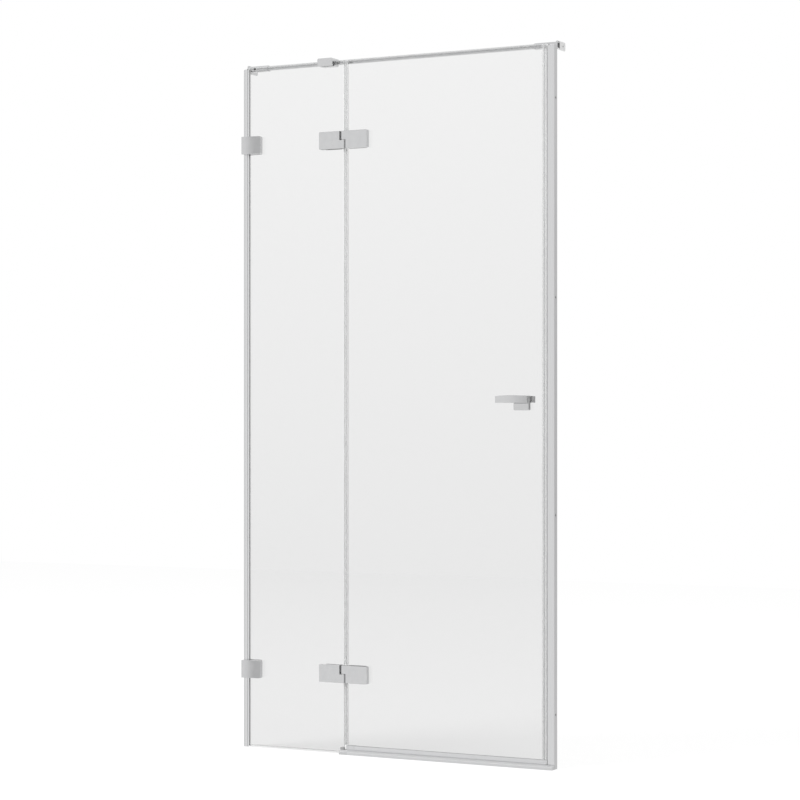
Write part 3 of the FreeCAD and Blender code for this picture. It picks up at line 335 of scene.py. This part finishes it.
def bright_profile():
    """Bright anodised aluminium with fine extrusion lines along the profile."""
    return grained(
        "bright_profile", noise=(900, drawn_upright, 3), tones=((0.67, 0.673, 0.68), (0.73, 0.732, 0.738)),
        roughness=(0.18, 0.28), bump=(fine_relief, 0.12), metal_share=1,
    )


def rail_profile():
    """Satin aluminium of the rail and the sill, drawn along X."""
    return grained(
        "rail_profile", noise=(900, drawn_across, 3), tones=((0.60, 0.603, 0.61), (0.66, 0.662, 0.668)),
        roughness=(0.36, 0.46), bump=(fine_relief, 0.12), metal_share=0.4,
    )


def wall_side_painted_shade():
    """Darker metal on the wall channels' faces turned to the wall: painted shade for that side."""
    return grained(
        "wall_side_painted_shade", noise=(900, drawn_upright, 3), tones=((0.48, 0.482, 0.486), (0.56, 0.562, 0.566)),
        roughness=(0.3, 0.42), bump=(fine_relief, 0.15), metal_share=1,
    )


def clear_glass():
    """Clear safety glass with a trace of grey, and painted shade that makes it a little deeper towards the
    floor.
    """
    material, shader = new_material("clear_glass")
    shader.inputs["Transmission Weight"].default_value = 1
    shader.inputs["IOR"].default_value = glass_bend
    shader.inputs["Roughness"].default_value = 0
    place = add_node(material, "ShaderNodeTexCoord")
    parts = add_node(material, "ShaderNodeSeparateXYZ")
    join(material, place.outputs["Object"], parts.inputs[0])
    # Painted shade: the tint deepens from the top of the pane down to the floor
    rise = rescale(material, parts.outputs["Z"], old_span=(0, cad_high[2]), new_span=(0, 1))
    tint(material, shader, rise, glass_tints_and_painted_shade, span=(0, 1))
    return material


def ground_edge():
    """The ground and polished narrow edges of the panes."""
    return grained(
        "ground_edge", noise=(500, ground_upright, 2), tones=((0.80, 0.815, 0.81), (0.88, 0.895, 0.89)),
        roughness=(0.3, 0.45), cover_share=edge_cover_share,
    )


def clear_seal(name, cover_share):
    """Soft clear plastic, a little milky."""
    return grained(
        name, noise=(160, ground_upright, 2), tones=((0.66, 0.664, 0.666), (0.72, 0.724, 0.726)),
        roughness=(0.22, 0.34), cover_share=cover_share,
    )


def grey_moulding():
    """Silver-grey moulded plastic with a fine grain."""
    return clouded(
        "grey_moulding", cloud=(40, even, 3), tones=((0.52, 0.522, 0.528), (0.57, 0.572, 0.578)),
        fine=(2600, even, 2), roughness=(0.38, 0.5), bump=(moulded_relief, 0.25),
    )


def grey_rubber():
    """Grey sealing rubber, matt with a fine bloom."""
    return clouded(
        "grey_rubber", cloud=(90, even, 4), tones=((0.34, 0.34, 0.342), (0.41, 0.41, 0.412)),
        fine=(3000, even, 2), roughness=(0.55, 0.75), bump=(moulded_relief, 0.3),
    )


def grey_gasket():
    """Grey glazing rubber, drawn lengthwise."""
    return grained(
        "grey_gasket", noise=(700, rolled_upright, 3), tones=((0.38, 0.38, 0.382), (0.44, 0.44, 0.442)),
        roughness=(0.5, 0.7), bump=(fine_relief, 0.2),
    )


def black_plastic():
    """Black moulded plastic of the bar's end plugs."""
    return grained(
        "black_plastic", noise=(2600, even, 2), tones=((0.012, 0.012, 0.012), (0.02, 0.02, 0.02)),
        roughness=(0.5, 0.65), bump=(moulded_relief, 0.25),
    )


def black_steel():
    """Blackened screw steel."""
    return grained(
        "black_steel", noise=(1400, turned, 3), tones=((0.03, 0.03, 0.031), (0.05, 0.05, 0.051)),
        roughness=(0.35, 0.5), bump=(fine_relief, 0.15), metal_share=1,
    )


def painted_shade_steel():
    """Steel darkened with painted shade for the faces inside a hinge's split, where shade falls."""
    return grained(
        "painted_shade_steel", noise=(700, streaked_upright, 3), tones=((0.21, 0.21, 0.212), (0.29, 0.29, 0.292)),
        roughness=(0.3, 0.45), bump=(fine_relief, 0.15), metal_share=1,
    )


def magnet_band():
    """Magnet powder bound in rubber."""
    return grained(
        "magnet_band", noise=(1500, even, 3), tones=((0.40, 0.40, 0.405), (0.47, 0.47, 0.475)),
        roughness=(0.5, 0.7), bump=(fine_relief, 0.2),
    )


def stainless_steel():
    """Turned stainless steel."""
    return grained(
        "stainless_steel", noise=(1200, turned, 3), tones=((0.50, 0.50, 0.505), (0.57, 0.57, 0.575)),
        roughness=(0.25, 0.38), bump=(fine_relief, 0.15), metal_share=1,
    )


def pale_painted_light():
    """Pale matt colour that paints light: a painted highlight on a bar bracket's face on the wall, and
    painted light on the nose of the door's closing seal, which lies in shade.
    """
    return grained(
        "pale_painted_light", noise=(200, even, 3), tones=((0.80, 0.80, 0.80), (0.87, 0.87, 0.87)),
        roughness=(0.55, 0.7), bump=(fine_relief, 0.2),
    )


def white_nylon():
    """Natural nylon of the bushes and washers."""
    return grained(
        "white_nylon", noise=(120, even, 3), tones=((0.76, 0.755, 0.74), (0.82, 0.815, 0.80)),
        roughness=(0.4, 0.55), bump=(fine_relief, 0.1),
    )


finishes = {
    "chrome": polished_chrome(),
    "profile": bright_profile(),
    "glass": clear_glass(),
    "clear_seal": clear_seal("clear_seal", seal_cover_share),
    "moulding": grey_moulding(),
    "gasket": grey_gasket(),
    "rubber": grey_rubber(),
    "black_plastic": black_plastic(),
    "black_steel": black_steel(),
    "magnet": magnet_band(),
    "steel": stainless_steel(),
    "nylon": white_nylon(),
}
lying_profile = rail_profile()
thin_seal = clear_seal("thin_seal", seal_leg_cover_share)
pane_edge = ground_edge()
painted_light_finish = pale_painted_light()
split_painted_shade = painted_shade_steel()
wall_painted_shade = wall_side_painted_shade()
own_finishes = {"drip_rail": lying_profile, "sill": lying_profile, "fixed_glass_bottom_strip": thin_seal}


def dress_nodes():
    """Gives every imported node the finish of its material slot, or its own."""
    for row in subparts:
        node = nodes[row["node"]]
        node.data.materials.clear()
        node.data.materials.append(own_finishes.get(row["node"], finishes[row["material_slot"]]))


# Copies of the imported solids

def merged_copy(name):
    """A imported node's mesh with its points merged."""
    shape = bmesh.new()
    shape.from_mesh(nodes[name].data)
    bmesh.ops.remove_doubles(shape, verts=shape.verts, dist=weld)
    return shape


def solid_copy(name):
    """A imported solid's mesh as whole faces, ready to be worked on."""
    shape = merged_copy(name)
    bmesh.ops.dissolve_limit(shape, angle_limit=flat_angle, verts=shape.verts, edges=shape.edges)
    bmesh.ops.recalc_face_normals(shape, faces=shape.faces)
    return shape


def islands(name):
    """Lowest and highest corner of each separate solid in a node, always in the same order."""
    shape = merged_copy(name)
    left = set(shape.verts)
    boxes = []
    while left:
        front = [left.pop()]
        found = list(front)
        while front:
            near = {edge.other_vert(vert) for vert in front for edge in vert.link_edges}
            front = [vert for vert in near if vert in left]
            left.difference_update(front)
            found += front
        low = Vector([min(vert.co[axis] for vert in found) for axis in range(3)])
        high = Vector([max(vert.co[axis] for vert in found) for axis in range(3)])
        boxes.append((low, high))
    shape.free()
    return sorted(boxes, key=lambda box: tuple(box[0]))


# Shaping of a piece before its edges are rounded

def make_round(shape, axis, centre, reaches):
    """Gives the flat-sided outlines at these reaches around an axis the round they stand for."""
    def from_axis(point):
        """Distance of a point from the axis."""
        across = point - centre
        across[axis] = 0
        return across.length

    for reach in reaches:
        on_round = {vert for vert in shape.verts if abs(from_axis(vert.co) - reach) < round_match}
        rim = [
            edge for edge in shape.edges
            if edge.verts[0] in on_round and edge.verts[1] in on_round
            and abs(edge.verts[0].co[axis] - edge.verts[1].co[axis]) < round_match
        ]
        made = bmesh.ops.subdivide_edges(shape, edges=rim, cuts=round_cuts, use_grid_fill=True)
        for item in made["geom_inner"]:
            if isinstance(item, bmesh.types.BMVert):
                across = item.co - centre
                along = across[axis]
                across[axis] = 0
                across = across.normalized() * reach
                across[axis] = along
                item.co = centre + across


def round_holes(shape, screw_group, reaches):
    """Makes the holes for a group of screws round."""
    for low, high in islands(screw_group):
        make_round(shape, depth_axis, (low + high) / 2, reaches)


def round_bulb(shape):
    """Makes the bulb of the joint seal round."""
    low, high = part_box("joint_seal")
    centre = Vector((low.x + bulb_reaches[0], (low.y + high.y) / 2, low.z))
    make_round(shape, upright_axis, centre, bulb_reaches)


def bevel(shape, edges, width):
    """Rounds these edges over."""
    bmesh.ops.bevel(
        shape, geom=edges, offset=width, offset_type="OFFSET", affect="EDGES", segments=edge_steps,
        profile=0.5, material=-1, clamp_overlap=True,
    )


def round_mouth(shape, way, width):
    """Rounds the two upright outer edges at the end of a profile or seal that faces this way along X."""
    tip = max(vert.co.x * way for vert in shape.verts)
    side = max(abs(vert.co.y) for vert in shape.verts)

    def at_corner(vert):
        """Whether a point lies on one of the two outer corners."""
        return tip - vert.co.x * way < weld and side - abs(vert.co.y) < weld

    upright = [
        edge for edge in shape.edges
        if all(at_corner(vert) for vert in edge.verts) and abs(edge.verts[0].co.y - edge.verts[1].co.y) < weld
    ]
    bevel(shape, upright, width)


def stretch_depth(shape, depth_share):
    """Scales a piece along Y about the middle of the glass."""
    bmesh.ops.scale(shape, verts=shape.verts, vec=(1, depth_share, 1))


def drop_lips(shape, drop):
    """Draws the lower face of the rail or its block down towards the sill."""
    foot = min(vert.co.z for vert in shape.verts)
    lips = [vert for vert in shape.verts if vert.co.z - foot < lip_reach]
    bmesh.ops.translate(shape, verts=lips, vec=(0, 0, -drop))


def recess_back(shape, recess):
    """Sets the mouth of the glazing profile or its wedge back on the shower side."""
    behind = [vert for vert in shape.verts if vert.co.y > 0]
    mouth = max(vert.co.x for vert in behind)
    ends = [vert for vert in behind if mouth - vert.co.x < weld]
    bmesh.ops.translate(shape, verts=ends, vec=(-recess, 0, 0))


shaping = {
    "left_bar_bracket": [(round_holes, "bar_bracket_grub_screws", sleeve_hole_reaches)],
    "right_bar_bracket": [(round_holes, "bar_bracket_grub_screws", sleeve_hole_reaches)],
    "joint_seal": [(round_bulb,)],
    "door_closing_seal": [(round_mouth, rightwards, seal_nose_round)],
    "left_wall_channel": [(round_mouth, rightwards, channel_mouth_round)],
    "right_wall_channel": [(round_mouth, leftwards, channel_mouth_round)],
    "left_glazing_profile": [(stretch_depth, nested_grow_share), (recess_back, glazing_leg_recess)],
    "left_glazing_gaskets": [(recess_back, glazing_wedge_recess)],
    "closing_profile": [(stretch_depth, nested_grow_share)],
    "drip_rail": [(drop_lips, rail_lip_drop)],
    "drip_rail_end_block": [(drop_lips, block_lip_drop)],
    "fixed_glass": [(stretch_depth, glass_air_share)],
    "door_glass": [(stretch_depth, glass_air_share)],
}
for level in levels:
    shaping[level + "wall_clamp_back"] = [(round_holes, "wall_clamp_bolts", bolt_hole_reaches)]
    shaping[level + "hinge_fixed_back_plate"] = [(round_holes, "hinge_fixed_bolts", bolt_hole_reaches)]
    shaping[level + "hinge_door_back_plate"] = [(round_holes, "hinge_door_bolts", bolt_hole_reaches)]


# Faces with a finish of their own, and faces with painted shade and painted light

def nose_faces(shape):
    """The nose that holds the magnet."""
    tip = max(vert.co.x for vert in shape.verts)
    return [face for face in shape.faces if tip - face.calc_center_median().x < seal_nose_depth]


def faces_behind(shape, start):
    """The faces further towards the shower than this."""
    return [face for face in shape.faces if face.calc_center_median().y > start]


def wall_faces(shape, way):
    """The faces that lie on the wall on this side along X."""
    return [face for face in shape.faces if face.normal.x * way > wall_facing_share]


def split_faces(shape):
    """The faces inside the split between the two leaves of a hinge."""
    near = [face for face in shape.faces if abs(face.calc_center_median().x - hinge_place.x) < split_reach]
    return [face for face in near if abs(face.normal.y) < split_slant_share]


def ground_faces(shape):
    """The narrow edges of a pane and the insides of its holes."""
    return [face for face in shape.faces if abs(face.normal.y) < pane_slant_share]


def foot_faces(shape):
    """The lower edges of a pane."""
    return [face for face in shape.faces if face.normal.z < -pane_foot_share]


pane_faces = [(pane_edge, ground_faces), (thin_seal, foot_faces)]
# Painted highlight on the bar brackets' faces on the wall, painted shade on the wall channels' faces on the
# wall, painted light on the closing seal's nose
face_finishes = {
    "fixed_glass": pane_faces,
    "door_glass": pane_faces,
    "left_bar_bracket": [(painted_light_finish, wall_faces, leftwards)],
    "right_bar_bracket": [(painted_light_finish, wall_faces, rightwards)],
    "left_wall_channel": [(wall_painted_shade, wall_faces, leftwards)],
    "right_wall_channel": [(wall_painted_shade, wall_faces, rightwards)],
    "left_glazing_gaskets": [(finishes["nylon"], faces_behind, 0)],
    "joint_seal": [(thin_seal, faces_behind, seal_leg_from)],
    "door_closing_seal": [(painted_light_finish, nose_faces)],
}
# Each hinge leaf's faces inside the split get painted shade
for level in levels:
    face_finishes[level + "hinge_fixed_leaf"] = [(split_painted_shade, split_faces)]
    face_finishes[level + "hinge_door_leaf"] = [(split_painted_shade, split_faces)]


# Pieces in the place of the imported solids

def round_edges(shape, width):
    """Rounds over every sharp edge."""
    sharp = [edge for edge in shape.edges if edge.is_manifold and edge.calc_face_angle() > sharp_angle]
    bevel(shape, sharp, width)
    bmesh.ops.dissolve_degenerate(shape, dist=weld, edges=shape.edges)
    bmesh.ops.recalc_face_normals(shape, faces=shape.faces)


def place_piece(name, shape):
    """Turns the worked mesh into the piece that stands for a node, with the finishes of its faces."""
    mesh = bpy.data.meshes.new(name + "_piece")
    others = face_finishes.get(name, [])
    for index, (_, find_faces, *values) in enumerate(others, start=1):
        for face in find_faces(shape, *values):
            face.material_index = index
    shape.to_mesh(mesh)
    shape.free()
    mesh.shade_smooth()
    mesh.set_sharp_from_angle(angle=smooth_angle)
    mesh.materials.append(nodes[name].data.materials[0])
    for row in others:
        mesh.materials.append(row[0])
    piece = bpy.data.objects.new(name + "_piece", mesh)
    bpy.context.scene.collection.objects.link(piece)
    weighted = piece.modifiers.new("even_faces", "WEIGHTED_NORMAL")
    weighted.keep_sharp = True
    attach(piece, body_of[name])
    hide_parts(name)


def worked_pieces():
    """Shapes, rounds and places the metal, the mouldings, the seals and the panes."""
    for name, width in edge_rounds.items():
        shape = solid_copy(name)
        for work, *values in shaping.get(name, []):
            work(shape, *values)
        if width:
            round_edges(shape, width)
        place_piece(name, shape)


# Screws with round heads and hexagon sockets

def extrude_rim(shape, rim):
    """Extrudes a rim on the spot; returns the new points and the new rim."""
    made = bmesh.ops.extrude_edge_only(shape, edges=rim)["geom"]
    verts = [item for item in made if isinstance(item, bmesh.types.BMVert)]
    edges = [item for item in made if isinstance(item, bmesh.types.BMEdge)]
    return verts, [edge for edge in edges if edge.verts[0] in verts and edge.verts[1] in verts]


def ring(shape, rim, reach, height):
    """Extrudes a rim to a round of this reach at this height and returns the new rim."""
    verts, rim = extrude_rim(shape, rim)
    for vert in verts:
        across = Vector((vert.co.x, vert.co.y, 0)).normalized() * reach
        vert.co = (across.x, across.y, height)
    return rim


def add_screw(shape, head_middle, direction, length, sizes):
    """One screw with the middle of its head at a point, its head facing a direction."""
    head, shank, head_depth, socket, socket_depth = sizes
    one = bmesh.new()
    bmesh.ops.create_circle(one, segments=screw_sides, radius=socket, cap_ends=True)
    for vert in one.verts:
        turn = math.atan2(vert.co.y, vert.co.x) % hexagon_side - hexagon_side / 2
        reach = socket / 2 / math.cos(turn)
        vert.co = vert.co.normalized() * reach
        vert.co.z = -socket_depth
    verts, rim = extrude_rim(one, list(one.edges))
    bmesh.ops.translate(one, verts=verts, vec=(0, 0, socket_depth))
    bow = screw_rim * rim_bow_share
    outline = [(head - screw_rim, 0), (head - bow, -bow), (head, -screw_rim)]
    if shank < head:
        outline += [(head, -head_depth), (shank, -head_depth)]
    outline += [(shank, -length + screw_tip), (shank - screw_tip, -length)]
    for reach, height in outline:
        rim = ring(one, rim, reach, height)
    bmesh.ops.contextual_create(one, geom=rim)
    turn = Vector((0, 0, 1)).rotation_difference(Vector(direction)).to_matrix()
    bmesh.ops.rotate(one, verts=one.verts, cent=(0, 0, 0), matrix=turn)
    bmesh.ops.translate(one, verts=one.verts, vec=head_middle)
    bmesh.ops.recalc_face_normals(one, faces=one.faces)
    mesh = bpy.data.meshes.new("one_screw")
    one.to_mesh(mesh)
    one.free()
    shape.from_mesh(mesh)
    bpy.data.meshes.remove(mesh)


def screws():
    """Every screw of the groups, where its flat-sided solid is."""
    for name, (sizes, direction) in screw_groups.items():
        shape = bmesh.new()
        for low, high in islands(name):
            middle = (low + high) / 2
            reach = (high - low) / 2
            along = Vector(direction)
            half = sum(abs(along[axis]) * reach[axis] for axis in range(3))
            add_screw(shape, middle + along * half, direction, 2 * half, sizes)
        place_piece(name, shape)


# Studio: floor, world, lamps and camera

def seen_rays(owner):
    """A socket that is 1 for rays that show the background: seen, mirrored or through glass."""
    path = add_node(owner, "ShaderNodeLightPath")
    direct = combine(owner, "MAXIMUM", path.outputs["Is Camera Ray"], path.outputs["Is Glossy Ray"])
    return combine(owner, "MAXIMUM", direct, path.outputs["Is Transmission Ray"])


def studio_floor():
    """A pale floor that shows white to the camera and keeps the shadow."""
    mesh = bpy.data.meshes.new("floor")
    shape = bmesh.new()
    bmesh.ops.create_grid(shape, x_segments=1, y_segments=1, size=floor_size / 2)
    bmesh.ops.translate(shape, verts=shape.verts, vec=(0, 0, -floor_drop))
    shape.to_mesh(mesh)
    shape.free()
    floor = bpy.data.objects.new("floor", mesh)
    bpy.context.scene.collection.objects.link(floor)
    floor.visible_glossy = False
    material, shader = new_material("pale_floor")
    shader.inputs["Base Color"].default_value = (floor_tone, floor_tone, floor_tone, 1)
    shader.inputs["Roughness"].default_value = 1
    shader.inputs["Specular IOR Level"].default_value = 0
    shader.inputs["Emission Color"].default_value = white
    glow = combine(material, "MULTIPLY", seen_rays(material), floor_glow)
    join(material, glow, shader.inputs["Emission Strength"])
    mesh.materials.append(material)


def dim_surround(world, dim):
    """A socket that is lower for reflections of one side of the surround, and 1 for everything else."""
    direction, cosines, level = dim
    place = add_node(world, "ShaderNodeTexCoord")
    toward = add_node(world, "ShaderNodeVectorMath", operation="DOT_PRODUCT")
    toward.inputs[1].default_value = direction
    join(world, place.outputs["Generated"], toward.inputs[0])
    side = rescale(world, toward.outputs["Value"], cosines, (0, 1 - level), interpolation_type="SMOOTHSTEP")
    path = add_node(world, "ShaderNodeLightPath")
    mirrored = combine(world, "MINIMUM", path.outputs["Glossy Depth"], 1)
    return combine(world, "SUBTRACT", 1, combine(world, "MULTIPLY", side, mirrored))


def studio_world():
    """Even soft light, with a white surround for what shows the background."""
    world = bpy.data.worlds.new("studio")
    world.use_nodes = True
    bpy.context.scene.world = world
    background = world.node_tree.nodes["Background"]
    background.inputs["Color"].default_value = white
    strength = rescale(world, seen_rays(world), old_span=(0, 1), new_span=(light_level, 1))
    for dim in (room_dim, flag_dim):
        strength = combine(world, "MULTIPLY", strength, dim_surround(world, dim))
    join(world, strength, background.inputs["Strength"])


def soft_lamp(name, place, size, power):
    """A square soft box aimed at the middle of the door."""
    data = bpy.data.lights.new(name, "AREA")
    data.size = size
    data.energy = power
    lamp = bpy.data.objects.new(name, data)
    lamp.location = place
    lamp.rotation_euler = (Vector(lamp_aim) - Vector(place)).to_track_quat("-Z", "Y").to_euler()
    lamp.visible_glossy = False
    lamp.visible_transmission = False
    lamp.visible_camera = False
    bpy.context.scene.collection.objects.link(lamp)


def photo_camera():
    """The camera at the photograph's viewing angle."""
    data = bpy.data.cameras.new("camera")
    data.lens = camera_lens
    data.shift_x = camera_side_share
    data.shift_y = camera_rise_share
    data.clip_end = camera_reach
    camera = bpy.data.objects.new("camera", data)
    camera.location = camera_place
    camera.rotation_euler = (math.pi / 2, 0, camera_turn)
    bpy.context.scene.collection.objects.link(camera)
    bpy.context.scene.camera = camera


dress_nodes()
worked_pieces()
screws()
studio_floor()
studio_world()
soft_lamp("key", key_place, key_size, key_power)
soft_lamp("fill", fill_place, fill_size, fill_power)
photo_camera()
bpy.context.scene.view_settings.view_transform = "Standard"
